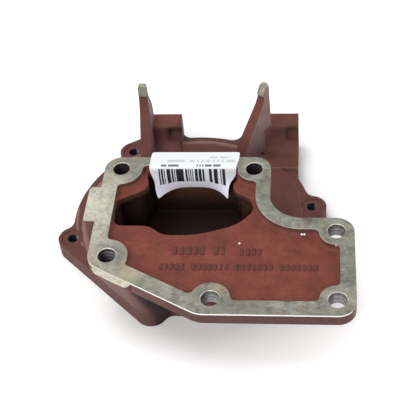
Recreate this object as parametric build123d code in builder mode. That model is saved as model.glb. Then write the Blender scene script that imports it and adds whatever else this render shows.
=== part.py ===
from build123d import *
import os
from math import asin, atan2, cos, degrees, hypot, radians, sin, tan

# Water pump bracket, one iron casting, in millimetres
# The origin is where the axis of the round base meets the base face, and +Z points to the gasket face

# Round base
base_radius = 81
base_thickness = 12
ring_width = 5.5
drum_rise = 2.5
drum_chamfer = 1
base_hole_offset = 1
base_hole_diameter = 7
spotface_radius = 7.4
spotface_depth = 0.6
lobe_radius = 9.8
left_lobe_angle = 193.8
far_lobe_angle = 126.4
right_lobe_angle = 7.6
ring_front_y = -20
base_corner_radius = 7

# Leaning pillar from the near left edge of the base up to the corner of the flange
pillar_inset = 4.8
pillar_angle = 254.4
pillar_radius = 10.6
pillar_length = 29
pillar_head_radius = 8
pillar_tip_radius = 3

# Gasket flange
overall_height = 57
flange_thickness = 10
flange_edge_chamfer = 1.5
bolt_hole_diameter = 11
hole_chamfer = 0.4
far_row_y = 1.2
near_row_y = -106
hole_a_x = -43
hole_b_x = 44
hole_c_x = 96
hole_c_y = -53
hole_e_x = 23
hole_f_x = -42
hole_f_y = -74
hole_margin = 10.8
near_margin = 11.5
arm_corner_radius = 20
diagonal_foot_x = 15.7
diagonal_blend_radius = 16
blind_hole_depth = 34
corner_hole_depth = 17

# Pocket and passage
pocket_depth = 5
side_rim = 9
far_rim = 7.5
left_rim = 10.2
diagonal_rim = 10.2
pocket_corner_radius = 3.2
pocket_floor_chamfer = 1.5
boss_a_radius = 14
boss_b_radius = 10.6
boss_e_radius = 11.6
boss_f_radius = 12.7
neck_inset = 3
neck_bulge = 5.5
wall_thickness = 6.5
chamber_floor = 7
port_radius = 15
port_y = -44

# Side pad and corner ledge of the flange
side_pad_reach = 7.4
side_pad_low_y = -45.5
side_pad_high_y = -16
side_pad_radius = 2
ledge_reach = 3.8
ledge_drop = 1.5
ledge_end = 17

# Rear blocks and the lug under the right one
block_inset = 11
block_depth = 14
block_top = 33
block_left_x = -38
block_right_x = 71.4
block_width = 25
block_edge_radius = 2.5
block_back_radius = 1.5
block_foot_radius = 12
lug_width = 41.4
lug_length = 60
scallop_radius = 5.5
scallop_drop = 8
scallop_length = 9

# Ribs with a machined pad at the tip
rib_thickness = 6
rib_foot_thickness = 9
rib_tip = 70.5
rib_tip_radius = 2.7
pad_height = 9
pad_proud = 1
left_rib_x = -39.5
right_rib_x = 51.6
right_rib_angle = 50

gasket_plane = Plane.XY.offset(overall_height)
drum_radius = base_radius - ring_width
bolt_circle_radius = base_radius + base_hole_offset
block_front_y = base_radius - block_inset
flange_floor = overall_height - flange_thickness
pocket_floor = overall_height - pocket_depth
drum_top = base_thickness + drum_rise
pad_foot = rib_tip - pad_height

right_x = hole_c_x + hole_margin
near_y = near_row_y - near_margin
far_y = far_row_y + hole_margin
left_x = hole_a_x - hole_margin
arm_y = hole_c_y + hole_margin
arm_root_x = hole_b_x + hole_margin

# The diagonal edge touches the lobe round hole F and runs down to the near edge
foot_distance = hypot(hole_f_x - diagonal_foot_x, hole_f_y - near_y)
diagonal_angle = 180 - degrees(
    atan2(hole_f_y - near_y, hole_f_x - diagonal_foot_x) + asin(hole_margin / foot_distance)
)
slope = tan(radians(diagonal_angle))
slant = 1 / cos(radians(diagonal_angle))


def diagonal_y(x, inset=0):
    """Height of the diagonal edge at x, moved inwards by inset"""
    return near_y + (diagonal_foot_x - x) * slope + inset * slant


def polar(radius, angle):
    """Point at a radius and an angle about the base axis"""
    return (radius * cos(radians(angle)), radius * sin(radians(angle)))


lobe_angles = (left_lobe_angle, far_lobe_angle, right_lobe_angle)
base_holes = [polar(bolt_circle_radius, angle) for angle in lobe_angles]
pillar_x, pillar_y = polar(base_radius - pillar_inset, pillar_angle)
blind_holes = [(hole_a_x, far_row_y), (hole_b_x, far_row_y)]
through_holes = [(hole_c_x, hole_c_y), (hole_c_x, near_row_y), (hole_e_x, near_row_y)]
corner_hole = (hole_f_x, hole_f_y)


def flange_corners(inset=0):
    """Sharp corners of the gasket flange, moved inwards by inset"""
    return [
        (diagonal_foot_x + inset * (slant - 1) / slope, near_y + inset),
        (right_x - inset, near_y + inset),
        (right_x - inset, arm_y - inset),
        (arm_root_x - inset, arm_y - inset),
        (arm_root_x - inset, far_y - inset),
        (left_x + inset, far_y - inset),
        (left_x + inset, diagonal_y(left_x + inset, inset)),
    ]


def flange_radii(inset=0):
    """Corner radii that go with flange_corners"""
    round_corner = hole_margin - inset
    return [diagonal_blend_radius - inset, round_corner, round_corner, arm_corner_radius + inset] + [
        round_corner
    ] * 3


def rib_plate(plane, corners, radii):
    """Rib with the given edge, thicker at the foot and rounded across its tip"""
    foot_spread = (rib_foot_thickness - rib_thickness) / 2
    across = Plane(origin=plane.origin, x_dir=plane.z_dir, z_dir=-plane.x_dir)
    with BuildPart(mode=Mode.PRIVATE) as plate:
        with BuildSketch(plane.offset(-foot_spread)):
            with BuildLine():
                FilletPolyline(*corners, radius=radii, close=True)
            make_face()
        extrude(amount=rib_foot_thickness)
        with BuildSketch(across):
            with BuildLine():
                FilletPolyline(
                    (-foot_spread, base_thickness),
                    (rib_thickness + foot_spread, base_thickness),
                    (rib_thickness, pad_foot),
                    (rib_thickness, rib_tip),
                    (0, rib_tip),
                    (0, pad_foot),
                    radius=[0, 0, 0, rib_tip_radius, rib_tip_radius, 0],
                    close=True,
                )
            make_face()
        extrude(amount=2 * base_radius, both=True, mode=Mode.INTERSECT)
    return plate.part


# Outline of the gasket flange, with lobes concentric with its holes
with BuildSketch(gasket_plane) as flange_outline:
    with BuildLine():
        FilletPolyline(*flange_corners(), radius=flange_radii(), close=True)
    make_face()

# Flange outline moved in, for the walls below it
with BuildSketch(Plane.XY.offset(flange_floor)) as neck_outline:
    with BuildLine():
        FilletPolyline(*flange_corners(neck_inset), radius=flange_radii(neck_inset), close=True)
    make_face()
    Circle(drum_radius, mode=Mode.INTERSECT)
    with BuildLine():
        FilletPolyline(
            (hole_a_x + boss_a_radius, 0),
            (hole_b_x - boss_b_radius, 0),
            (hole_b_x - boss_b_radius + wall_thickness, far_y + neck_bulge),
            (hole_a_x + boss_a_radius - wall_thickness, far_y + neck_bulge),
            radius=wall_thickness,
            close=True,
        )
    make_face()

# Footprint of the round base with its lobes, the lug and the seat of the left block
with BuildSketch() as base_outline:
    Circle(base_radius)
    with Locations((0, ring_front_y - base_radius)):
        Rectangle(4 * base_radius, 2 * base_radius, mode=Mode.SUBTRACT)
    Circle(drum_radius)
    with BuildSketch(mode=Mode.PRIVATE) as near_left_edge:
        with Locations(base_holes[0]):
            Circle(lobe_radius)
        with Locations((pillar_x, pillar_y)):
            Circle(pillar_radius)
        make_hull()
    add(near_left_edge.sketch)
    with BuildSketch(mode=Mode.PRIVATE) as left_seat:
        with Locations(base_holes[1]):
            Circle(lobe_radius)
        with Locations((block_left_x + block_width / 2, block_front_y + block_depth / 2)):
            Rectangle(block_width, block_depth)
        make_hull()
    add(left_seat.sketch)
    with Locations(base_holes[2]):
        Circle(lobe_radius)
    with Locations((block_right_x - lug_width / 2, block_front_y + block_depth - lug_length / 2)):
        Rectangle(lug_width, lug_length)
    offset(amount=base_corner_radius)
    offset(amount=-base_corner_radius)

# Foot of the pillar, along the straight near left edge of the base
edge_angle = degrees(atan2(base_holes[0][1] - pillar_y, base_holes[0][0] - pillar_x))
pillar_reach = (
    pillar_x + pillar_length * cos(radians(edge_angle)),
    pillar_y + pillar_length * sin(radians(edge_angle)),
)
with BuildSketch(Plane.XY.offset(base_thickness)) as pillar_foot:
    with Locations((pillar_x, pillar_y), pillar_reach):
        Circle(pillar_radius)
    make_hull()

# Head of the pillar, a ledge that reaches past the diagonal edge of the flange
head_x = hole_f_x
tip_x = hole_f_x + ledge_end - pillar_tip_radius
with BuildSketch(Plane.XY.offset(overall_height - ledge_drop)) as pillar_head:
    with Locations((head_x, diagonal_y(head_x, pillar_head_radius - ledge_reach))):
        Circle(pillar_head_radius)
    with Locations((tip_x, diagonal_y(tip_x, pillar_tip_radius - ledge_reach))):
        Circle(pillar_tip_radius)
    make_hull()

# Hollow of the neck, which leaves the bosses of the blind holes standing
with BuildSketch(Plane.XY.offset(chamber_floor)) as chamber_outline:
    add(neck_outline.sketch.moved(Location((0, 0, -flange_floor))))
    offset(amount=-wall_thickness)
    with Locations(blind_holes[0]):
        Circle(boss_a_radius, mode=Mode.SUBTRACT)
    with Locations(blind_holes[1]):
        Circle(boss_b_radius, mode=Mode.SUBTRACT)

# Pocket in the gasket face, which leaves a rim and a boss round each bolt hole
with BuildSketch(gasket_plane) as pocket_outline:
    with BuildLine():
        FilletPolyline(
            (diagonal_foot_x + diagonal_rim * (slant - 1) / slope, near_y + diagonal_rim),
            (right_x - side_rim, near_y + diagonal_rim),
            (right_x - side_rim, arm_y - side_rim),
            (arm_root_x - side_rim, arm_y - side_rim),
            (arm_root_x - side_rim, far_y - far_rim),
            (left_x + left_rim, far_y - far_rim),
            (left_x + left_rim, diagonal_y(left_x + left_rim, diagonal_rim)),
            radius=[0, 0, 0, arm_corner_radius + side_rim, 0, 0, 0],
            close=True,
        )
    make_face()
    with Locations(blind_holes[0]):
        Circle(boss_a_radius, mode=Mode.SUBTRACT)
    with Locations(blind_holes[1], through_holes[0], through_holes[1]):
        Circle(boss_b_radius, mode=Mode.SUBTRACT)
    with Locations(through_holes[2]):
        Circle(boss_e_radius, mode=Mode.SUBTRACT)
    with Locations(corner_hole):
        Circle(boss_f_radius, mode=Mode.SUBTRACT)
    offset(amount=-pocket_corner_radius)
    offset(amount=pocket_corner_radius)

# Mouth of the passage, a free cored outline in the pocket floor
with BuildSketch(gasket_plane) as mouth_outline:
    with BuildLine():
        FilletPolyline(
            (-43.5, -23),
            (-43.5, -42),
            (-39, -45),
            (-20, -45),
            (-11, -52.8),
            (10, -52.8),
            (35, -44),
            (45, -32),
            (43, -22),
            (28, -13),
            (33, -4),
            (33, 2.4),
            (-26, 2.4),
            (-26, -2),
            (-23, -12),
            radius=[6, 5, 8, 14, 14, 60, 25, 9, 8, 8, 3, 1, 1, 2, 8],
            close=True,
        )
    make_face()

with BuildPart() as bracket_casting:
    # Gasket flange with its side pad and corner ledge
    add(flange_outline.sketch)
    extrude(amount=-flange_thickness)
    chamfer(bracket_casting.edges().group_by(Axis.Z)[0], length=flange_edge_chamfer)
    add(pocket_outline.sketch)
    extrude(amount=-pocket_depth, mode=Mode.SUBTRACT)
    pocket_floors = bracket_casting.faces().filter_by_position(
        Axis.Z, pocket_floor - 0.1, pocket_floor + 0.1
    )
    chamfer(pocket_floors.edges(), length=pocket_floor_chamfer)
    with BuildSketch(Plane.XY.offset(base_thickness)) as side_pad_outline:
        with Locations((left_x, (side_pad_low_y + side_pad_high_y) / 2)):
            RectangleRounded(
                2 * side_pad_reach,
                side_pad_high_y - side_pad_low_y,
                side_pad_radius,
            )
    extrude(amount=overall_height - base_thickness)

    # Neck between the drum and the flange
    add(neck_outline.sketch)
    extrude(amount=base_thickness - flange_floor)
    loft([pillar_foot.sketch.faces()[0], pillar_head.sketch.faces()[0]], ruled=True)

    # Round base and the drum on it
    add(base_outline.sketch)
    extrude(amount=base_thickness)
    with BuildSketch(Plane.XZ):
        Polygon(
            (0, 0),
            (drum_radius, 0),
            (drum_radius, drum_top - drum_chamfer),
            (drum_radius - drum_chamfer, drum_top),
            (0, drum_top),
            align=None,
        )
    revolve()

    # Rear blocks, with a wide hollow fillet at the foot
    for corner_x in (block_left_x, block_right_x - block_width):
        with BuildSketch(Plane.YZ.offset(corner_x)):
            with BuildLine():
                FilletPolyline(
                    (block_front_y - 2 * block_foot_radius, chamber_floor),
                    (block_front_y - 2 * block_foot_radius, drum_top),
                    (block_front_y, drum_top),
                    (block_front_y, block_top),
                    (block_front_y + block_depth, block_top),
                    (block_front_y + block_depth, chamber_floor),
                    radius=[0, 0, block_foot_radius, block_edge_radius, block_back_radius, 0],
                    close=True,
                )
            make_face()
        extrude(amount=block_width)
        with Locations(
            (corner_x + block_width - scallop_length, block_front_y, block_top - scallop_drop)
        ):
            Cylinder(
                scallop_radius,
                2 * scallop_length,
                rotation=(0, 90, 0),
                align=(Align.CENTER, Align.CENTER, Align.MIN),
                mode=Mode.SUBTRACT,
            )

    # Left rib, its edge drawn from the foot up the front, over the tip and down the back
    left_rib_corners = [
        (block_front_y - 25, base_thickness),
        (block_front_y - 14, drum_top + 13),
        (block_front_y - 3.5, pad_foot - 13.5),
        (block_front_y - 0.6, pad_foot - 3),
        (block_front_y - 0.6, pad_foot),
        (block_front_y - 0.6 - pad_proud, pad_foot),
        (block_front_y - 0.2, rib_tip),
        (block_front_y + 3, rib_tip),
        (block_front_y + 4, pad_foot - 3),
        (block_front_y + 10, block_top + 13),
        (block_front_y + 10, base_thickness),
    ]
    left_rib_radii = [0, 40, 30, 1, 0.4, 0.4, 1.2, 1.2, 6, 6, 0]
    add(rib_plate(Plane.YZ.offset(left_rib_x), left_rib_corners, left_rib_radii))

    # Right rib, turned to face the middle of the base
    right_rib_plane = Plane(
        origin=(right_rib_x, block_front_y + 1, 0),
        x_dir=(cos(radians(right_rib_angle)), sin(radians(right_rib_angle)), 0),
        z_dir=(sin(radians(right_rib_angle)), -cos(radians(right_rib_angle)), 0),
    )
    right_rib_corners = [
        (-36, base_thickness),
        (-26, drum_top + 14.5),
        (-7.5, pad_foot - 6.5),
        (-5.5, pad_foot - 1.5),
        (-5.5, pad_foot),
        (-5.5 - pad_proud, pad_foot),
        (-2.5, rib_tip),
        (0, rib_tip),
        (0, block_top),
        (10, block_top - 1),
        (10, base_thickness),
    ]
    right_rib_radii = [0, 20, 12, 0.6, 0.4, 0.4, 1, 1, 3, 1, 0]
    add(rib_plate(right_rib_plane.offset(-rib_thickness), right_rib_corners, right_rib_radii))

    # Mouth, chamber and port
    add(mouth_outline.sketch)
    extrude(amount=-flange_thickness, mode=Mode.SUBTRACT)
    add(chamber_outline.sketch)
    extrude(amount=flange_floor - chamber_floor, mode=Mode.SUBTRACT)
    with Locations((0, port_y, 0)):
        Cylinder(
            port_radius,
            chamber_floor,
            align=(Align.CENTER, Align.CENTER, Align.MIN),
            mode=Mode.SUBTRACT,
        )

    # Bolt holes
    for spot in blind_holes:
        with Locations((*spot, overall_height)):
            Hole(bolt_hole_diameter / 2, depth=blind_hole_depth)
    for spot in through_holes:
        with Locations((*spot, overall_height)):
            Hole(bolt_hole_diameter / 2, depth=flange_thickness)
    with Locations((*corner_hole, overall_height)):
        Hole(bolt_hole_diameter / 2, depth=corner_hole_depth)
    face_circles = (
        bracket_casting.edges()
        .filter_by(GeomType.CIRCLE)
        .filter_by_position(Axis.Z, overall_height - 0.01, overall_height + 0.01)
    )
    chamfer(face_circles.filter_by(lambda edge: edge.is_closed), length=hole_chamfer)
    for spot in base_holes:
        with Locations((*spot, base_thickness - spotface_depth)):
            Cylinder(
                spotface_radius,
                drum_top,
                align=(Align.CENTER, Align.CENTER, Align.MIN),
                mode=Mode.SUBTRACT,
            )
            Hole(base_hole_diameter / 2, depth=base_thickness)
os.makedirs("parts", exist_ok=True)
bracket_casting.part.label = "bracket_casting"
export_step(bracket_casting.part, "parts/bracket_casting.step")
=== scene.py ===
import math
import random

import bmesh
import bpy
from mathutils import Matrix, Vector


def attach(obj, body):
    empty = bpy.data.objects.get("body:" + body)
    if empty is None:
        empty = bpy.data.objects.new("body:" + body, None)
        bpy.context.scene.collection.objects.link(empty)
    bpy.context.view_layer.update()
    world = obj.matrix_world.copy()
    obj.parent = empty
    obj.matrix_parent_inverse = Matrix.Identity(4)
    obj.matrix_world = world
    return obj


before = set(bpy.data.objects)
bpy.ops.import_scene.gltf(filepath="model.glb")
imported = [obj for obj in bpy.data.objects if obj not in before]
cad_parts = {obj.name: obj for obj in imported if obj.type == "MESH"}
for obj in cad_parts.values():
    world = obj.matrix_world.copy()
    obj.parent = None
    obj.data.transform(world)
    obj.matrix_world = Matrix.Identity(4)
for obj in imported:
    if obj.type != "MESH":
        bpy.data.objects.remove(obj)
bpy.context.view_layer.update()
mm = 0.001
hair = 0.01 * mm  # points nearer than this are the same
random.seed(11)
print("frame loaded:", ", ".join(sorted(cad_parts)))

camera = {  # found from the photograph, in metres
    "place": (0.0810, -0.46407, 0.50531),
    "right": (0.99487, 0.07274, -0.07035),
    "up": (-0.00401, 0.72296, 0.69088),
    "lens": 85.714,
    "sensor": 36,
}


class Sock:
    # a shader value that can be used in sums like a number
    def __init__(self, shader, out):
        self.shader = shader
        self.out = out

    def calc(self, operation, first, second):
        return self.shader.node("Math", {"operation": operation}, {0: first, 1: second})

    def __add__(self, other):
        return self.calc("ADD", self, other)

    def __sub__(self, other):
        return self.calc("SUBTRACT", self, other)

    def __mul__(self, other):
        return self.calc("MULTIPLY", self, other)

    def __gt__(self, other):
        return self.calc("GREATER_THAN", self, other)

    def __lt__(self, other):
        return self.calc("LESS_THAN", self, other)


class Shader:
    slant = 0.35  # the turn of stretched patches, in radians
    bevelSamples = 6

    def __init__(self, name, owner=None):
        self.owner = owner or bpy.data.materials.new(name)
        self.owner.use_nodes = True
        self.tree = self.owner.node_tree
        self.surface = self.tree.nodes.get("Principled BSDF")

    def node(self, kind, settings={}, values={}, out=0):
        made = self.tree.nodes.new("ShaderNode" + kind)
        for name, value in settings.items():
            if name == "stops":
                self.stops(made.color_ramp.elements, value)
            else:
                setattr(made, name, value)
        for name, value in values.items():
            self.plug(made.inputs[name], value)
        return Sock(self, made.outputs[out])

    def stops(self, elements, stops):
        while len(elements) < len(stops):
            elements.new(0.5)
        for element, (place, colour) in zip(elements, stops):
            element.position = place
            element.color = (*colour, 1)

    def plug(self, socket, value):
        if isinstance(value, Sock):
            self.tree.links.new(value.out, socket)
        elif isinstance(value, tuple) and len(value) == 3 and socket.type == "RGBA":
            socket.default_value = (*value, 1)
        else:
            socket.default_value = value

    def set(self, **values):
        for name, value in values.items():
            self.plug(self.surface.inputs[name.replace("_", " ")], value)

    def place(self):
        return self.node("TexCoord", {}, {}, "Object")

    def flat(self):
        # the place seen from above, with no height
        ends = {0: self.place(), 1: (1, 1, 0)}
        return self.node("VectorMath", {"operation": "MULTIPLY"}, ends, "Vector")

    def axes(self):
        return self.split(self.place())

    def facing(self):
        # the way that the surface looks, -1 to 1 along each axis
        return self.split(self.node("TexCoord", {}, {}, "Normal"))

    def split(self, vector):
        parts = self.node("SeparateXYZ", {}, {0: vector})
        return [Sock(self, parts.out.node.outputs[axis]) for axis in range(3)]

    def noise(self, size, detail=3, rough=0.5, stretch=(1, 1, 1)):
        # size is the width of a patch in millimetres
        place = self.place()
        if stretch != (1, 1, 1):
            turn = (0, 0, self.slant)
            place = self.node("Mapping", {}, {"Vector": place, "Scale": stretch, "Rotation": turn})
        values = {"Vector": place, "Scale": 1000 / size, "Detail": detail, "Roughness": rough}
        return self.node("TexNoise", {}, values, "Fac")

    def fade(self, value, low, high, start=0, end=1):
        # goes evenly from start to end while the value goes from low to high
        ends = {"Value": value, "From Min": low, "From Max": high, "To Min": start, "To Max": end}
        return self.node("MapRange", {"clamp": True}, ends, "Result")

    def ease(self, value, ends, start=0, end=1):
        # the same between two places in millimetres
        low, high = ends
        return self.fade(value, low * mm, high * mm, start, end)

    def near(self, point, inner, outer):
        # 1 within the inner distance of a point, 0 past the outer one, in millimetres
        ends = {0: self.place(), 1: tuple(value * mm for value in point)}
        apart = self.node("VectorMath", {"operation": "DISTANCE"}, ends, "Value")
        return self.ease(apart, (inner, outer), 1, 0)

    def between(self, value, low, high):
        # 1 where a place lies between two others, in millimetres, and 0 elsewhere
        return (value > low * mm) * (value < high * mm)

    def blend(self, factor, first, second):
        return self.node("Mix", {"data_type": "RGBA"}, {0: factor, 6: first, 7: second}, 2)

    def shown(self):
        # 1 for what the camera sees straight, mirrored or through glass,
        # and 0 for the light on the object
        paths = self.node("LightPath", {}, {}, "Is Camera Ray")
        for kind in ("Is Glossy Ray", "Is Transmission Ray"):
            paths = paths + self.node("LightPath", {}, {}, kind)
        return self.fade(paths, 0, 1)

    def ramp(self, value, stops):
        return self.node("ValToRGB", {"stops": stops}, {"Fac": value}, "Color")

    def soften(self, radius):
        # rounds the look of sharp edges by this radius
        return self.node("Bevel", {"samples": self.bevelSamples}, {"Radius": radius * mm}, "Normal")

    def mixNormals(self, factor, first, second):
        return self.node("Mix", {"data_type": "VECTOR"}, {0: factor, 4: first, 5: second}, 1)

    def bump(self, height, depth, normal=None):
        values = {"Height": height, "Distance": depth * mm, "Strength": 1.0}
        if normal:
            values["Normal"] = normal
        return self.node("Bump", {}, values, "Normal")


def srgb(red, green, blue):
    # a colour written from 0 to 255, as the linear values that a shader takes
    return tuple(
        v / 12.92 if v <= 0.04045 else ((v + 0.055) / 1.055) ** 2.4
        for v in (red / 255, green / 255, blue / 255)
    )


primer = {
    "colour": srgb(106, 53, 43),
    "pale": srgb(119, 63, 51),
    "deep": srgb(91, 46, 38),
    "mark": srgb(80, 45, 38),
    "side": srgb(98, 77, 72),
    "low": srgb(92, 62, 58),
    "foot": srgb(78, 54, 50),
    "hollow": srgb(46, 33, 26),
    "farLight": srgb(98, 64, 47),
    "shadeBlack": srgb(16, 12, 11),
    "ribLight": srgb(138, 116, 112),
    "shadeTone": srgb(40, 28, 26),
    "bare": srgb(214, 209, 196),
    "glare": srgb(238, 238, 236),
    "paintedHighlight": srgb(150, 122, 112),
    "whiteSpeck": (0.9, 0.88, 0.84),
    "patch": 11,  # widths in millimetres of the patches, specks and streaks
    "speck": 1.3,
    "streak": 3.5,
    "upright": (1, 1, 0.25),
    "grain": (0.9, 0.09),  # width and height of the skin's grain, and then of its lumps
    "lumps": (5, 0.14),
    "gloss": 3,
    "roughness": (0.52, 0.7),
    "shine": 0.2,
    "hollowShine": 0.06,
    "edgeRadius": 0.9,
    "cornerRadius": 4.5,
    "corners": {"y": (58, 64), "top": 33.5, "outside": 0.85, "hollow": 0.7},
    "lowFrom": (50, 44),  # heights over which the paint takes its low tint, and its foot tint
    "footFrom": (22, 12),
}

hollowSkin = {  # places in millimetres in the hollow, each from its start to its end
    "depth": (44, 52),
    "farLightY": (-14, -6),
    "farLightZ": (12, 34),
    "farLightX": (-16, -26),
    "shadeEnd": ((-42, -33, 40), 4, 12),
    "shadeFloor": (22, 13),
}

wearAndLight = {  # places in millimetres on the outside of the casting, each from its start to its end, for its wear and for its painted shade and light
    "shadePatches": [  # place, inner and outer radius, and strength of the patches of painted shade
        ((-16, 69, 25), 1, 10, 0.75),
        ((68, 69, 25), 1, 9, 0.5),
        ((-33, 64, 20), 2, 12, 0.4),
        ((45, 60, 18), 2, 14, 0.4),
        ((-4, -80, 22), 6, 24, 0.6),
        ((60, 74, 33), 4, 22, 0.25),
        ((5, 52, 15), 8, 44, 0.22),
    ],
    "ribs": {"y": (40, 50), "blockTop": 33.2, "blockFront": 64.8, "foot": 14.9, "z": (16, 42)},
    "pillar": {"y": (-50, -64), "x": (2, -8), "top": 47},
    "nearWall": (-96, -108),
    "paintedHighlight": {"rise": (70, 73.4), "fall": (74.6, 75.8), "z": (12.5, 14.9), "x": (55, 30)},
    "ring": {"centre": (-15, 5, 12), "outer": (64.9, 65.9), "inner": (63.6, 64.6)},
    "ringPart": {"left": -60, "y": (-27, 8), "z": (11.9, 12.1)},
    "step": {"y": (45.8, 46.2), "z": (12.05, 14.6), "left": 20},
    "top": 57.1,  # just above the gasket face
    "cutLine": {"from": 56.45, "back": 20},
    "brightLine": {"from": 55.9, "near": -114, "slope": 0.54, "corner": -106},
    "ledge": {"from": 55.4, "right": -25.4, "back": -76},
    "whiteSpecks": [(37.3, -59.2, 52.0), (75.0, -52.0, 52.6), (76.6, -52.0, 52.6), (95.6, -63.4, 55.5)],
    "whiteSpeck": (0.45, 0.75),  # inner and outer radius
}


def hollowPaint(shader, colour, speck):
    # painted shade: the inside of the casting is painted darker the deeper it lies
    x, y, z = shader.axes()
    back = shader.facing()[1]
    paintedShade = shader.ease(z, hollowSkin["depth"], 0.94, 0.5)
    colour = shader.blend(paintedShade, colour, primer["hollow"])
    # painted light: its far wall, which faces the mouth, is painted lighter and speckled; painted
    # shade: its left end and its floor are painted black
    farLight = shader.fade(back, -0.3, -0.8) * shader.fade(speck, 0.35, 0.6, 0.3, 1)
    farLight = farLight * shader.ease(y, hollowSkin["farLightY"]) * shader.ease(z, hollowSkin["farLightZ"])
    farLight = farLight * shader.ease(x, hollowSkin["farLightX"], 1, 0.3)
    colour = shader.blend(farLight, colour, primer["farLight"])
    shadeBlack = shader.near(*hollowSkin["shadeEnd"]) * 0.8
    shadeBlack = shadeBlack + shader.ease(z, hollowSkin["shadeFloor"], 0, 0.3)
    return shader.blend(shadeBlack, colour, primer["shadeBlack"])


def outsidePaint(shader, colour, streaks):
    # painted shade patches, painted light on the ribs' right sides, painted shade on the pillar and
    # the flange's near edge, and painted highlights, on the outside
    x, y, z = shader.axes()
    right, back = shader.facing()[:2]
    # patches of painted shade in the recesses at the rear blocks, on the drum's top and under the
    # flange
    for place, inner, outer, strength in wearAndLight["shadePatches"]:
        colour = shader.blend(shader.near(place, inner, outer) * strength, colour, primer["hollow"])
    # painted light: the right sides of the two ribs are painted a lighter grey, as if lit from the
    # right, above the blocks and in front of them
    ribs = wearAndLight["ribs"]
    clear = shader.fade((z > ribs["blockTop"] * mm) + (y < ribs["blockFront"] * mm), 0, 1)
    clear = clear * (z > ribs["foot"] * mm)
    sides = shader.fade(right, 0.5, 0.75) * shader.ease(y, ribs["y"]) * clear
    ribLighting = shader.ease(z, ribs["z"], 0.25, 0.85) * shader.fade(streaks, 0.3, 0.6, 0.65, 1)
    colour = shader.blend(sides * ribLighting, colour, primer["ribLight"])
    # painted shade: the right side of the pillar and the near edge of the flange are painted darker
    pillar = wearAndLight["pillar"]
    paintedShade = shader.fade(right, 0.0, 0.5) * shader.ease(y, pillar["y"]) * (z < pillar["top"] * mm)
    paintedShade = paintedShade * shader.ease(x, pillar["x"])
    under = shader.fade(back, -0.4, -0.8) * shader.ease(y, wearAndLight["nearWall"]) * 0.5
    colour = shader.blend(shader.fade(paintedShade * 0.95 + under, 0, 1), colour, primer["shadeTone"])
    # painted highlight: the rounded crest of the drum is painted paler at the back and at the near
    # left
    paintedHighlight = wearAndLight["paintedHighlight"]
    reach = shader.node("VectorMath", {"operation": "LENGTH"}, {0: shader.flat()}, "Value")
    line = shader.ease(reach, paintedHighlight["rise"]) * shader.ease(reach, paintedHighlight["fall"], 1, 0)
    line = line * shader.between(z, *paintedHighlight["z"]) * shader.ease(x, paintedHighlight["x"])
    colour = shader.blend(line * 0.55, colour, primer["paintedHighlight"])
    ring, part = wearAndLight["ring"], wearAndLight["ringPart"]
    line = shader.near(ring["centre"], *ring["outer"]) - shader.near(ring["centre"], *ring["inner"])
    line = line * (x < part["left"] * mm)
    line = line * shader.between(z, *part["z"]) * shader.between(y, *part["y"])
    colour = shader.blend(line * 0.6, colour, primer["paintedHighlight"])
    # the low step in front of the right block stands in the shade, and is painted paler, a painted
    # light that lifts that shade
    step = wearAndLight["step"]
    face = shader.between(y, *step["y"]) * shader.between(z, *step["z"]) * (x > step["left"] * mm)
    return shader.blend(face * 0.75, colour, primer["paintedHighlight"])


def cutPaint(shader, colour, patches):
    # what the cutter left on the painted edges of the flange, and white specks: a chip in the
    # paint, and painted glints
    x, y, z = shader.axes()
    # the cutter left a thin bright line where it met the paint, widest on the near edges, where it
    # is painted brighter still, a painted highlight
    line = wearAndLight["cutLine"]
    edge = shader.between(z, line["from"], wearAndLight["top"]) * (y < line["back"] * mm)
    colour = shader.blend(edge * shader.fade(patches, 0.3, 0.5, 0.4, 0.9), colour, primer["bare"])
    # painted highlight on the near and diagonal edges
    line = wearAndLight["brightLine"]
    sides = (y < line["near"] * mm) + (y + x * line["slope"] < line["corner"] * mm)
    rim = shader.fade(sides, 0, 1) * shader.between(z, line["from"], wearAndLight["top"])
    colour = shader.blend(rim * shader.fade(patches, 0.25, 0.45, 0.7, 1), colour, primer["glare"])
    # and it skimmed the step above the corner ledge
    ledge = wearAndLight["ledge"]
    skim = shader.between(z, ledge["from"], wearAndLight["top"])
    skim = skim * (x < ledge["right"] * mm) * (y < ledge["back"] * mm)
    colour = shader.blend(skim * 0.9, colour, primer["bare"])
    # white specks: a chip in the paint, and painted glints
    for whiteSpeck in wearAndLight["whiteSpecks"]:
        colour = shader.blend(shader.near(whiteSpeck, *wearAndLight["whiteSpeck"]), colour, primer["whiteSpeck"])
    return colour


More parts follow.
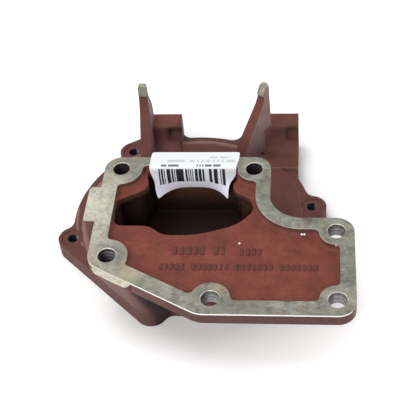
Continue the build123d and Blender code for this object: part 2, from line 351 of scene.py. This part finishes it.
def primerPaint(name, hollow=False, markShade=0.0):
    # the third argument says how far the paint is darkened on the raised marks, a painted shade
    # that brings out their relief
    shader = Shader(name)
    y, z = shader.axes()[1:]
    up = shader.facing()[2]
    patches = shader.noise(primer["patch"], 5, 0.65)
    speck = shader.noise(primer["speck"], 2)
    streaks = shader.noise(primer["streak"], 3, 0.6, primer["upright"])
    colour = shader.ramp(
        patches, [(0.34, primer["deep"]), (0.5, primer["colour"]), (0.68, primer["pale"])]
    )
    colour = shader.blend(shader.fade(speck, 0.55, 0.68, 0, 0.4), colour, primer["deep"])
    colour = shader.blend(shader.fade(speck, 0.45, 0.32, 0, 0.25), colour, primer["pale"])
    # painted shade: the raised marks are painted darker
    if markShade:
        colour = shader.blend(markShade, colour, primer["mark"])
    # painted sheen: the sides of the casting are painted duller and greyer than what faces up, as
    # grazing light makes them look
    side = shader.fade(up, 0.15, 0.8, 0.55, 0) * shader.fade(streaks, 0.3, 0.65, 0.7, 1)
    colour = shader.blend(side, colour, primer["side"])
    colour = shader.blend(shader.ease(z, primer["lowFrom"], 0, 0.35), colour, primer["low"])
    colour = shader.blend(shader.ease(z, primer["footFrom"], 0, 0.45), colour, primer["foot"])
    corners = primer["corners"]
    if hollow:
        colour = hollowPaint(shader, colour, speck)
        rounding = corners["hollow"]
    else:
        colour = cutPaint(shader, outsidePaint(shader, colour, streaks), patches)
        rounding = shader.ease(y, corners["y"], 0, corners["outside"]) * (z < corners["top"] * mm)
    (grain, grainHeight), (lump, lumpHeight) = primer["grain"], primer["lumps"]
    height = shader.noise(grain, 3) * grainHeight + shader.noise(lump, 2) * lumpHeight
    shape = shader.soften(primer["edgeRadius"])
    if not markShade:
        # cast corners at the rear blocks and inside the hollow are rounder still
        shape = shader.mixNormals(rounding, shape, shader.soften(primer["cornerRadius"]))
    shader.set(
        Base_Color=colour,
        Roughness=shader.fade(shader.noise(primer["gloss"]), 0.3, 0.7, *primer["roughness"]),
        Specular_IOR_Level=primer["hollowShine"] if hollow else primer["shine"],
        Normal=shader.bump(height, 1, shape),
    )
    return shader.owner


machined = {
    "colour": srgb(108, 108, 99),
    "green": srgb(102, 104, 82),
    "pale": srgb(150, 149, 138),
    "stain": srgb(76, 73, 64),
    "warm": srgb(168, 152, 118),
    "pit": srgb(70, 66, 58),
    "spots": [  # place, reach, strength and tint of the patches that stand out
        ((-27, -85), 13, 0.6, "warm"),
        ((30, -97), 9, 0.7, "warm"),
        ((-57, -28), 9, 0.4, "warm"),
        ((-50, 10), 9, 0.35, "warm"),
        ((-38, 4), 24, 0.45, "stain"),
        ((34, -114), 26, 0.45, "stain"),
        ((-34, -72), 14, 0.4, "stain"),
        ((102, -80), 20, 0.25, "stain"),
        ((46, 2), 17, 0.45, "pale"),
        ((-4, -92), 12, 0.4, "pale"),
    ],
    "polishAndSheen": srgb(206, 200, 184),
    "face": 57,  # height of the gasket face
    "leftSheen": ((-60, -34, 57), 6, 42),
    "leftSheenSide": (30, -40),
    "cloud": 8,  # widths in millimetres of the different patches
    "mottle": 3.2,
    "tint": 16,
    "stroke": 9,
    "pore": 1.1,
    "scratched": (2.5, 5, 1),
    "milled": (1, 7, 1),
    "metallic": 0.2,
    "roughness": (0.53, 0.39),
    "relief": (0.7, 0.02),  # width and height of the cutter's traces
    "freshLift": 0.55,  # how far the fresh cut and the side pad are brighter
    "padLift": 0.12,
    "edgeRadius": 0.25,
}


def machinedFace(name, lift=0.0):
    # lift says how far a fresh cut is brighter than the rest
    shader = Shader(name)
    x = shader.axes()[0]
    clouds = shader.noise(machined["cloud"], 6, 0.66)
    mottle = shader.noise(machined["mottle"], 4, 0.6)
    tint = shader.noise(machined["tint"])
    stretch = machined["scratched" if lift else "milled"]
    strokes = shader.noise(machined["stroke"], 3, 0.5, stretch)
    colour = shader.ramp(
        clouds, [(0.36, machined["stain"]), (0.48, machined["colour"]), (0.64, machined["pale"])]
    )
    colour = shader.blend(shader.fade(mottle, 0.46, 0.36, 0, 0.35), colour, machined["stain"])
    colour = shader.blend(shader.fade(mottle, 0.56, 0.68, 0, 0.35), colour, machined["pale"])
    colour = shader.blend(shader.fade(tint, 0.48, 0.62, 0, 0.6), colour, machined["green"])
    colour = shader.blend(shader.fade(tint, 0.46, 0.36, 0, 0.3), colour, machined["warm"])
    colour = shader.blend(shader.fade(strokes, 0.52, 0.7, 0, 0.35), colour, machined["pale"])
    for place, outer, strength, shade in machined["spots"]:
        place = (*place, machined["face"])
        spot = shader.near(place, 1, outer) * shader.fade(clouds, 0.35, 0.55, 0.3, 1)
        colour = shader.blend(spot * strength, colour, machined[shade])
    # painted reflection: the left side of the face is painted the brightest, as it reflects the
    # light from the left
    leftSheen = shader.near(*machined["leftSheen"]) * 0.66 + shader.ease(x, machined["leftSheenSide"], 0, 0.08)
    leftSheen = leftSheen * shader.fade(mottle, 0.35, 0.6, 0.5, 1)
    colour = shader.blend(leftSheen, colour, machined["polishAndSheen"])
    pores = shader.fade(shader.noise(machined["pore"], 2), 0.6, 0.7, 0, 0.75)
    pores = pores * shader.fade(clouds, 0.4, 0.56, 1, 0.15)
    colour = shader.blend(pores, colour, machined["pit"])
    if lift:
        lift = shader.fade(strokes, 0.3, 0.62, lift * 0.5, lift * 1.5)
        colour = shader.blend(lift, colour, machined["polishAndSheen"])
    width, depth = machined["relief"]
    height = shader.noise(width, 3) + strokes * 2
    shader.set(
        Base_Color=colour,
        Metallic=machined["metallic"],
        Roughness=shader.fade(clouds, 0.3, 0.7, *machined["roughness"]),
        Normal=shader.bump(height, depth, shader.soften(machined["edgeRadius"])),
    )
    return shader.owner


bore = {
    "colour": srgb(172, 171, 166),
    "groove": srgb(128, 126, 121),
    "dark": srgb(52, 49, 47),
    "shadeBlack": srgb(24, 22, 21),
    "glint": srgb(200, 205, 210),
    "pitch": 2.9,  # of the drill's turns, and their depth
    "depth": 0.1,
    "metallic": 0.3,
    "roughness": 0.5,
    "mouth": (55, 56.5),  # heights
    "smear": 2,
    "deep": (36, 47),
    "farRow": {"y": (-30, -10), "right": 60},
    "baseTop": 13,
}


def boreWall():
    shader = Shader("boreWall")
    x, y, z = shader.axes()
    right = shader.facing()[0]
    turn = 2 * math.pi / (bore["pitch"] * mm)
    turns = shader.node("Math", {"operation": "SINE"}, {0: z * turn})
    smear = shader.noise(2.5, 3)
    colour = shader.blend(shader.fade(turns, -1, 1), bore["groove"], bore["colour"])
    # painted shade: the wall is painted dark under its mouth and on its left, where it looks to the
    # right, and black deep down
    mouth = shader.ease(z + smear * (bore["smear"] * mm), bore["mouth"], 0, 0.75)
    colour = shader.blend(mouth, colour, bore["dark"])
    colour = shader.blend(shader.fade(right, 0.1, 0.7, 0, 0.9), colour, bore["dark"])
    colour = shader.blend(shader.fade(smear, 0.4, 0.6, 0, 0.35), colour, bore["dark"])
    colour = shader.blend(shader.ease(z, bore["deep"], 1, 0), colour, bore["shadeBlack"])
    # painted shade: the two far holes are painted black, and so are the base holes but for a
    # painted glint on the right
    row = bore["farRow"]
    far = shader.ease(y, row["y"], 0, 0.95) * (x < row["right"] * mm)
    colour = shader.blend(far, colour, bore["shadeBlack"])
    glint = shader.fade(right, -0.3, -0.8) * (z < bore["baseTop"] * mm)
    colour = shader.blend(glint * 0.8, colour, bore["glint"])
    shader.set(
        Base_Color=colour,
        Metallic=bore["metallic"],
        Roughness=far + bore["roughness"],
        Normal=shader.bump(turns, bore["depth"]),
    )
    return shader.owner


holes = {  # centres and radius in millimetres of the gasket face's holes, and of the base's
    "gasket": [(-43, 1.2), (44, 1.2), (96, -53), (96, -106), (23, -106), (-42, -74)],
    "radius": 5.5,
    "base": [(-79.6, -19.6), (-48.7, 66.0), (81.3, 10.8)],
    "baseRadius": 3.5,
}


def nearest(centre, spots):
    # the distance in plan from a place to the nearest of these
    return min(math.hypot(centre.x - x, centre.y - y) for x, y in spots)


limits = {  # places in millimetres, and ways to look, at which one finish gives way to another
    "up": 0.99,
    "wall": 0.2,
    "tilted": 0.9,
    "gasket": (56.9, 57.1),
    "chamfer": (56.55, 56.99),
    "ledge": (55.3, 55.7),
    "boreHeight": (22, 56.6),
    "boreSlack": 0.05,  # how far from a hole's radius the middle of a face may lie
    "wallSlack": 0.4,
    "chamferSlack": 0.45,
    "padFront": (61.5, -0.7),  # height, and the most that the face may look back
    "padTop": (68, 0.4),
    "hollowHeight": (0.1, 51),
    "hollowLeft": -44.4,
    "hollowReach": 69.2,
    "hollowBack": 11.1,
    "beside": (45.4, -51.6),
    "neckBack": 3.6,
    "neckSides": (-29, 34.5),
    "middle": -25,  # y of the point that the outside looks away from
}


def within(value, ends):
    # whether a number lies between two others
    return ends[0] < value < ends[1]


def inHollow(centre, normal):
    # a face inside the neck or the drum, and not one that belongs to their outside
    if not within(centre.z, limits["hollowHeight"]) or centre.x <= limits["hollowLeft"]:
        return False
    if math.hypot(centre.x, centre.y) >= limits["hollowReach"] or centre.y >= limits["hollowBack"]:
        return False
    right, near = limits["beside"]
    beside = centre.x > right and centre.y > near
    back = centre.y > limits["neckBack"] and not within(centre.x, limits["neckSides"])
    away = normal.x * centre.x + normal.y * (centre.y - limits["middle"]) > 0
    return not (beside or back or away and abs(normal.z) < limits["tilted"])


def finishOf(face):
    # the finish that a face of the casting carries, by its place and the way that it looks
    centre, normal = face.center / mm, face.normal
    up = normal.z > limits["up"]
    gasket = nearest(centre, holes["gasket"])
    wall = abs(normal.z) < limits["wall"] and gasket > holes["radius"] - limits["wallSlack"]
    inside = gasket < holes["radius"] + limits["boreSlack"]
    if inside and within(centre.z, limits["boreHeight"]) and (up or wall):
        return "boreWall"
    if nearest(centre, holes["base"]) < holes["baseRadius"] + limits["boreSlack"]:
        return "boreWall"
    if gasket < holes["radius"] + limits["chamferSlack"] and within(centre.z, limits["chamfer"]):
        return "freshCut"
    if up and within(centre.z, limits["gasket"]):
        return "machinedFace"
    if up and within(centre.z, limits["ledge"]):
        return "freshCut"
    for height, back in (limits["padFront"], limits["padTop"]):
        if centre.z > height and normal.y < back:
            return "padFace"
    return "hollowSkin" if inHollow(centre, normal) else "redPrimer"


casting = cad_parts["bracket_casting"]
casting.data.materials.clear()
finishes = {
    "redPrimer": primerPaint("redPrimer"),
    "machinedFace": machinedFace("machinedFace"),
    "freshCut": machinedFace("freshCut", machined["freshLift"]),
    "boreWall": boreWall(),
    "hollowSkin": primerPaint("hollowSkin", hollow=True),
    "padFace": machinedFace("padFace", machined["padLift"]),
}
for finish in finishes.values():
    casting.data.materials.append(finish)
order = list(finishes)
for face in casting.data.polygons:
    face.material_index = order.index(finishOf(face))
print("casting finished:", len(casting.data.polygons), "faces")


def pick(piece, kind, test):
    # in edit mode, selects only the points, edges or faces whose middle passes the test
    mesh = bmesh.from_edit_mesh(piece.data)
    for item in list(mesh.faces) + list(mesh.edges) + list(mesh.verts):
        item.select = False
    for item in getattr(mesh, kind):
        if kind == "verts":
            middle = item.co
        else:
            middle = sum((point.co for point in item.verts), Vector()) / len(item.verts)
        if test(middle):
            item.select_set(True)
    mesh.select_flush_mode()
    bmesh.update_edit_mesh(piece.data)


def named(piece, name, slot, *materials):
    # gives a new piece its name, its materials and its body
    piece.name = name
    piece.data.name = name
    piece.data.materials.clear()
    for material in materials:
        piece.data.materials.append(material)
    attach(piece, "root")


label = {
    "columns": 28,
    "rows": [  # y, z, left and right end, and how far the middle bows back, in millimetres
        (16.2, 57.5, -24.2, 34.3, 0),
        (12.0, 57.14, -24.5, 33.9, 0),
        (8.0, 57.14, -24.6, 33.3, 0),
        (5.4, 57.14, -24.7, 32.8, 0),
        (4.2, 57.08, -24.8, 32.5, 0),
        (3.2, 56.75, -24.8, 32.3, 0),
        (2.5, 56.1, -24.8, 32.2, 0),
        (2.0, 55.1, -24.7, 32.1, 0),
        (1.65, 53.6, -24.4, 32.0, 0),
        (1.45, 51.6, -24.1, 31.9, 0),
        (1.35, 49.4, -23.5, 31.1, 0),
        (1.2, 47.0, -22.9, 29.6, 0.4),
        (0.9, 44.4, -22.3, 27.8, 1.6),
        (0.0, 41.4, -22.2, 26.8, 3.6),
        (-1.0, 38.4, -22.1, 26.2, 6.0),
        (-2.0, 35.4, -21.4, 26.0, 8.8),
        (-3.0, 32.6, -20.6, 25.9, 11.6),
    ],
    "flatness": 3.2,  # the higher, the flatter the middle of the bow
    "thickness": 0.1,
    "crease": 50,
    "front": (0.5, 9, 0.15),  # roughness, and width and height of the paper's fibres
    "rear": (0.8, 0.8, 0.03),
    "hangGlow": 0.28,  # the strength of the painted glow of the part that hangs, which stands in for the light that comes through the paper
    "hanging": (57, 48),
    "lilacFrom": (54, 40),
    "paper": srgb(214, 217, 218),
    "shade": srgb(208, 211, 217),
    "back": srgb(214, 214, 208),
    "lilac": srgb(226, 222, 238),
    "ink": srgb(34, 32, 44),
    "grey": srgb(90, 90, 98),
    "faint": srgb(176, 180, 180),
    "bars": {"x": (-19.0, 25.6), "z": (41.6, 55.6), "front": 2.7, "dashes": (0.62, 0.56, 131)},
    "lying": 56.7,  # the part above this height lies on the rim
    "lines": [  # ends along y and x, pitch, share and seed of the dashes, ink and its strength
        ((3.2, 4.9), (-17.5, -5.5), (0.9, 0.7, 7), "grey", 1),
        ((3.2, 4.9), (6.0, 22.0), (0.9, 0.7, 7), "grey", 1),
        ((7.0, 9.4), (-17, 31), (1.5, 0.62, 3), "faint", 0.8),
        ((10.6, 12.4), (14, 28), (1.1, 0.7, 19), "faint", 0.8),
    ],
}


def labelPaper():
    shader = Shader("labelPaper")
    x, y, z = shader.axes()
    rough, width, depth = label["front"]
    soft = shader.noise(width)
    colour = shader.blend(shader.fade(soft, 0.35, 0.7, 0, 0.25), label["paper"], label["shade"])
    # the part that hangs is given a painted glow and painted lilac, as the light through the paper
    # makes it look
    hangs = shader.ease(z, label["hanging"])
    colour = shader.blend(shader.ease(z, label["lilacFrom"], 0, 0.9), colour, label["lilac"])

    def dashes(pitch, share, seed):
        # random dashes along x, which stand for print and bars
        cell = shader.node("Math", {"operation": "FLOOR"}, {0: x * (1 / (pitch * mm)) + seed})
        drawn = shader.node("TexWhiteNoise", {"noise_dimensions": "1D"}, {"W": cell}, "Value")
        return drawn < share

    bars = label["bars"]
    block = shader.between(x, *bars["x"]) * shader.between(z, *bars["z"]) * (y < bars["front"] * mm)
    colour = shader.blend(block * dashes(*bars["dashes"]), colour, label["ink"])
    lying = z > label["lying"] * mm
    for along, across, kind, ink, strength in label["lines"]:
        line = lying * shader.between(y, *along) * shader.between(x, *across) * dashes(*kind)
        colour = shader.blend(line * strength, colour, label[ink])
    shader.set(
        Base_Color=colour,
        Roughness=rough,
        Emission_Color=shader.blend(hangs, (0.0, 0.0, 0.0), colour),
        Emission_Strength=label["hangGlow"],
        Normal=shader.bump(soft, depth),
    )
    return shader.owner


def plainPaper():
    shader = Shader("labelBack")
    rough, width, depth = label["rear"]
    fibres = shader.noise(width)
    colour = shader.blend(shader.fade(fibres, 0.4, 0.7, 0, 0.3), label["paper"], label["back"])
    shader.set(Base_Color=colour, Roughness=rough, Normal=shader.bump(fibres, depth))
    return shader.owner


def hangLabel():
    # one row of paper on the rim, drawn out row by row over the edge and down into the mouth
    rows = label["rows"]
    (y0, z0, left0, right0, _), (y1, z1, left1, right1, _) = rows[:2]
    bpy.ops.object.select_all(action="DESELECT")
    bpy.ops.mesh.primitive_grid_add(
        x_subdivisions=label["columns"], y_subdivisions=1, size=1, location=(0, 0, 0)
    )
    sheet = bpy.context.object
    bpy.ops.object.mode_set(mode="EDIT")
    bpy.ops.mesh.select_mode(type="VERT")

    def rowTo(y, z, left, right, start, end):
        # the picked row, which spans start to end, is stretched and moved to its place
        wide = (right - left) / (end - start)
        bpy.ops.transform.resize(value=(wide, 1, 1), center_override=(0, 0, 0))
        bpy.ops.transform.translate(value=((left - wide * start) * mm, y * mm, z * mm))

    pick(sheet, "verts", lambda point: True)
    bpy.ops.transform.resize(value=(mm, mm, mm), center_override=(0, 0, 0))
    half = 0.5  # the grid is 1 mm wide and long
    pick(sheet, "verts", lambda point: point.y > 0)
    rowTo(y0 - half, z0, left0, right0, -half, half)
    pick(sheet, "verts", lambda point: point.y < mm)
    rowTo(y1 + half, z1, left1, right1, -half, half)
    for (y, z, left, right, bow), (ny, nz, nleft, nright, nbow) in zip(rows[1:], rows[2:]):
        if y == y1:
            pick(sheet, "verts", lambda point: point.y < y * mm + hair)
        bpy.ops.mesh.extrude_edges_move(TRANSFORM_OT_translate={"value": (0, 0, 0)})
        rowTo(ny - y, nz - z, nleft, nright, left, right)
        if bow:
            # a row that bows already is bowed further
            bpy.ops.transform.resize(value=(1, nbow / bow, 1), center_override=(0, ny * mm, 0))
        elif nbow:
            # the first row that bows takes its curve, highest in the middle
            points = bmesh.from_edit_mesh(sheet.data).verts
            places = [point.co.copy() for point in points if point.select]
            for place in places:
                across = abs((place.x / mm - nleft) / (nright - nleft) * 2 - 1)
                step = nbow * (1 - across ** label["flatness"]) * mm
                pick(sheet, "verts", lambda point: (point - place).length < hair)
                bpy.ops.transform.translate(value=(0, step, 0))
            pick(sheet, "verts", lambda point: abs(point.z - nz * mm) < hair)
    bpy.ops.object.mode_set(mode="OBJECT")
    smooth = sheet.modifiers.new("smooth", "SUBSURF")
    smooth.levels = smooth.render_levels = 1
    bpy.ops.object.modifier_apply(modifier="smooth")
    wall = sheet.modifiers.new("wall", "SOLIDIFY")
    wall.thickness = label["thickness"] * mm
    wall.offset = -1
    wall.material_offset = 1
    bpy.ops.object.modifier_apply(modifier="wall")
    bpy.ops.object.shade_smooth_by_angle(angle=math.radians(label["crease"]))
    named(sheet, "paperLabel", "label", labelPaper(), plainPaper())
    print("label hung:", len(sheet.data.polygons), "faces")


hangLabel()

castMarks = {
    "floor": 52.0,
    "height": 0.8,
    "sink": 0.3,
    "edge": 0.2,
    "segments": 2,
    "crease": 35,
    # how far the paint of the marks is darkened, a painted shade
    "markShade": 0.8,
    "swell": (-0.25, 0.35),
    "every": 8,  # of so many strokes, this one is left out
    "missing": 5,
    "rows": [  # start, end, middle y, tall, wide, pitch in millimetres
        (-1.5, 30.5, -65.8, 6.0, 2.1, 4.2),
        (39.0, 52.5, -66.4, 5.0, 1.9, 3.7),
        (-9.0, 86.0, -78.6, 4.2, 1.8, 3.3),
    ],
}


def raiseMarks():
    # plain raised strokes left by the mould, where the real one carries cast marks
    bpy.ops.object.select_all(action="DESELECT")
    bpy.ops.mesh.primitive_cube_add(size=1, location=(0, 0, 0))
    stroke = bpy.context.object
    marks = []
    tall = castMarks["height"] + castMarks["sink"]
    low = castMarks["floor"] - castMarks["sink"]
    for start, end, middle, length, width, pitch in castMarks["rows"]:
        count = int((end - start) / pitch) + 1
        for step in range(count):
            if step % castMarks["every"] == castMarks["missing"]:
                continue
            mark = stroke.copy()
            mark.data = stroke.data.copy()
            bpy.context.scene.collection.objects.link(mark)
            swell = 1 + random.uniform(*castMarks["swell"])
            mark.scale = (width * swell * mm, length * mm, tall * mm)
            along = start + step * pitch
            mark.location = (along * mm, middle * mm, (low + tall / 2) * mm)
            marks.append(mark)
    bpy.data.objects.remove(stroke)
    bpy.ops.object.select_all(action="DESELECT")
    for mark in marks:
        mark.select_set(True)
    bpy.context.view_layer.objects.active = marks[0]
    bpy.ops.object.join()
    bpy.ops.object.transform_apply(location=True, rotation=True, scale=True)
    joined = bpy.context.object
    bpy.ops.object.mode_set(mode="EDIT")
    bpy.ops.mesh.select_mode(type="EDGE")
    bpy.ops.mesh.select_all(action="SELECT")
    bpy.ops.mesh.bevel(
        offset=castMarks["edge"] * mm, segments=castMarks["segments"], affect="EDGES"
    )
    bpy.ops.object.mode_set(mode="OBJECT")
    bpy.ops.object.shade_smooth_by_angle(angle=math.radians(castMarks["crease"]))
    named(joined, "castMarks", "casting", primerPaint("markPaint", markShade=castMarks["markShade"]))
    print("cast marks raised:", len(marks), "strokes")


raiseMarks()

neckFillet = {  # the corner between the back of the neck and the underside of the flange
    "ends": (-31.5, 35.5),
    "y": (10.2, 13.6),
    "z": (46.8, 49.2),
    "hollow": 2.2,  # the size and the curve of its hollow front
    "profile": 0.1,
    "segments": 5,
    "taper": 1.5,  # each end runs out over this length to its tip, at the point y, z
    "tip": 0.1,
    "point": (10.8, 46.9),
    "crease": 40,
}


def castFillet():
    # a small hollow fillet, run out to a point at both ends
    bpy.ops.object.select_all(action="DESELECT")
    spans = (neckFillet["ends"], neckFillet["y"], neckFillet["z"])
    bpy.ops.mesh.primitive_cube_add(
        size=1,
        location=[(low + high) / 2 * mm for low, high in spans],
        scale=[(high - low) * mm for low, high in spans],
    )
    strip = bpy.context.object
    bpy.ops.object.transform_apply(location=True, rotation=True, scale=True)
    outer, top = neckFillet["y"][1] * mm, neckFillet["z"][1] * mm
    bpy.ops.object.mode_set(mode="EDIT")
    bpy.ops.mesh.select_mode(type="EDGE")
    pick(strip, "edges", lambda middle: middle.y > outer - hair and middle.z > top - hair)
    bpy.ops.mesh.bevel(
        offset=neckFillet["hollow"] * mm,
        segments=neckFillet["segments"],
        profile=neckFillet["profile"],
        affect="EDGES",
    )
    bpy.ops.mesh.select_mode(type="FACE")
    for end, way in zip(neckFillet["ends"], (-1, 1)):
        pick(strip, "faces", lambda middle: abs(middle.x - end * mm) < hair)
        shift = way * neckFillet["taper"] * mm
        bpy.ops.mesh.extrude_region_move(TRANSFORM_OT_translate={"value": (shift, 0, 0)})
        point = (end * mm + shift, *(value * mm for value in neckFillet["point"]))
        tip = neckFillet["tip"]
        bpy.ops.transform.resize(value=(1, tip, tip), center_override=point)
    bpy.ops.object.mode_set(mode="OBJECT")
    bpy.ops.object.shade_smooth_by_angle(angle=math.radians(neckFillet["crease"]))
    named(strip, "neckFillet", "casting", finishes["redPrimer"])
    print("fillet cast:", len(strip.data.polygons), "faces")


castFillet()

floor = {  # in metres; the floor glows more the farther it lies from the object, so that its weak glow near the object adds a painted shadow to the real one
    "size": 6,
    "colour": 0.9,
    "glow": (0.0, 0.9),
    "reach": (0.09, 0.22),
}
roomLight = 0.4
lampAim = (0, -0.02, 0.03)
lamps = [  # name, place in metres, size and watts
    ("overhead", (-0.3, 0.05, 1.3), 0.9, 10.5),
    ("front", (-0.45, -1.2, 0.95), 0.8, 14),
    ("side", (1.2, 0.1, 0.5), 0.8, 5),
]


def stageFloor():
    bpy.ops.object.select_all(action="DESELECT")
    bpy.ops.mesh.primitive_plane_add(size=floor["size"], location=(0, 0, 0))
    plane = bpy.context.object
    plane.name = "stageFloor"
    shader = Shader("whiteTable")
    apart = shader.node("VectorMath", {"operation": "LENGTH"}, {0: shader.place()}, "Value")
    # painted shadow: the glow is weak near the object and grows farther out
    glow = shader.fade(apart, *floor["reach"], *floor["glow"])
    diffuse = shader.node("BsdfDiffuse", {}, {"Color": (floor["colour"],) * 3}, 0)
    light = {"Color": (1.0, 1.0, 1.0), "Strength": shader.shown() * glow}
    glow = shader.node("Emission", {}, light, 0)
    both = shader.node("AddShader", {}, {0: diffuse, 1: glow}, 0)
    shader.plug(shader.tree.nodes["Material Output"].inputs["Surface"], both)
    plane.data.materials.append(shader.owner)


def studio():
    room = Shader("softRoom", bpy.data.worlds.new("softRoom"))
    bpy.context.scene.world = room.owner
    background = room.tree.nodes["Background"].inputs
    room.plug(background["Color"], (1.0, 1.0, 1.0))
    room.plug(background["Strength"], room.fade(room.shown(), 0, 1, roomLight, 1))
    for name, place, size, watts in lamps:
        lamp = bpy.data.objects.new(name, bpy.data.lights.new(name, "AREA"))
        lamp.data.size = size
        lamp.data.energy = watts
        lamp.location = place
        aim = Vector(lampAim) - Vector(place)
        lamp.rotation_euler = aim.to_track_quat("-Z", "Y").to_euler()
        bpy.context.scene.collection.objects.link(lamp)


def photographer():
    eye = bpy.data.objects.new("photographer", bpy.data.cameras.new("photographer"))
    right, up = Vector(camera["right"]), Vector(camera["up"])
    back = right.cross(up)
    turn = Matrix((right, up, back)).transposed().to_4x4()
    eye.matrix_world = Matrix.Translation(camera["place"]) @ turn
    eye.data.lens = camera["lens"]
    eye.data.sensor_width = camera["sensor"]
    eye.data.sensor_fit = "HORIZONTAL"
    bpy.context.scene.collection.objects.link(eye)
    bpy.context.scene.camera = eye


stageFloor()
studio()
photographer()
bpy.context.scene.view_settings.view_transform = "Standard"
print("stage set")
